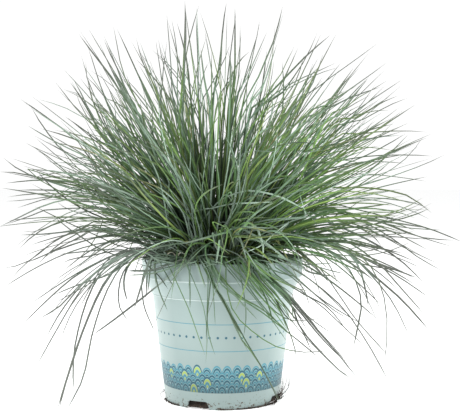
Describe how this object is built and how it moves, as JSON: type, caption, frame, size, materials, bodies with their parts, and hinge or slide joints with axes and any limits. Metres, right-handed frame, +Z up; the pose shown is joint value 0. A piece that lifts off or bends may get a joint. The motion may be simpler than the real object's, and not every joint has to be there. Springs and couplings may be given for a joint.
{
  "type": "potted blue fescue clump",
  "caption": "Clump of fine blue-green ornamental grass, its leaves arching out on all sides of a pale aqua plastic grower's pot.",
  "frame": {"origin": "on the pot's axis, in the plane that the pot's foot stands on", "axes": "+Z up; the front, with the pot's printed side, faces -Y; +X to the right seen from the front"},
  "size_m": [0.48, 0.4527, 0.415],
  "materials": {
    "pot": "satin",
    "soil": "matte",
    "root": "matte",
    "leaf": "satin",
    "dry_leaf": "matte"
  },
  "bodies": {
    "root": {"pot": "pot", "soil": "soil", "root_mat": "root", "roots_front": "root", "roots_left": "root", "roots_right": "root", "dry_curl_1": "dry_leaf", "dry_curl_2": "dry_leaf", "tuft_01": "leaf", "tuft_02": "leaf", "tuft_03": "leaf", "tuft_04": "leaf", "tuft_05": "leaf", "tuft_06": "leaf", "tuft_07": "leaf", "tuft_08": "leaf", "tuft_09": "leaf", "tuft_10": "leaf", "tuft_11": "leaf", "tuft_12": "leaf", "tuft_13": "leaf", "tuft_14": "leaf", "tuft_15": "leaf", "tuft_16": "leaf", "tuft_17": "leaf", "tuft_18": "leaf", "tuft_19": "leaf", "tuft_20": "leaf", "tuft_21": "leaf", "tuft_22": "leaf", "tuft_23": "leaf", "tuft_24": "leaf", "tuft_25": "leaf", "tuft_26": "leaf", "tuft_27": "leaf", "tuft_28": "leaf", "tuft_29": "leaf", "tuft_30": "leaf", "tuft_31": "leaf", "tuft_32": "leaf", "tuft_33": "leaf", "tuft_34": "leaf", "tuft_35": "leaf", "tuft_36": "leaf", "tuft_37": "leaf", "tuft_38": "leaf", "tuft_39": "leaf", "tuft_40": "leaf", "tuft_41": "leaf", "tuft_42": "leaf", "tuft_43": "leaf", "tuft_44": "leaf", "tuft_45": "leaf", "tuft_46": "leaf", "tuft_47": "leaf", "tuft_48": "leaf", "tuft_49": "leaf", "tuft_50": "leaf", "tuft_51": "leaf"}
  },
  "joints": []
}
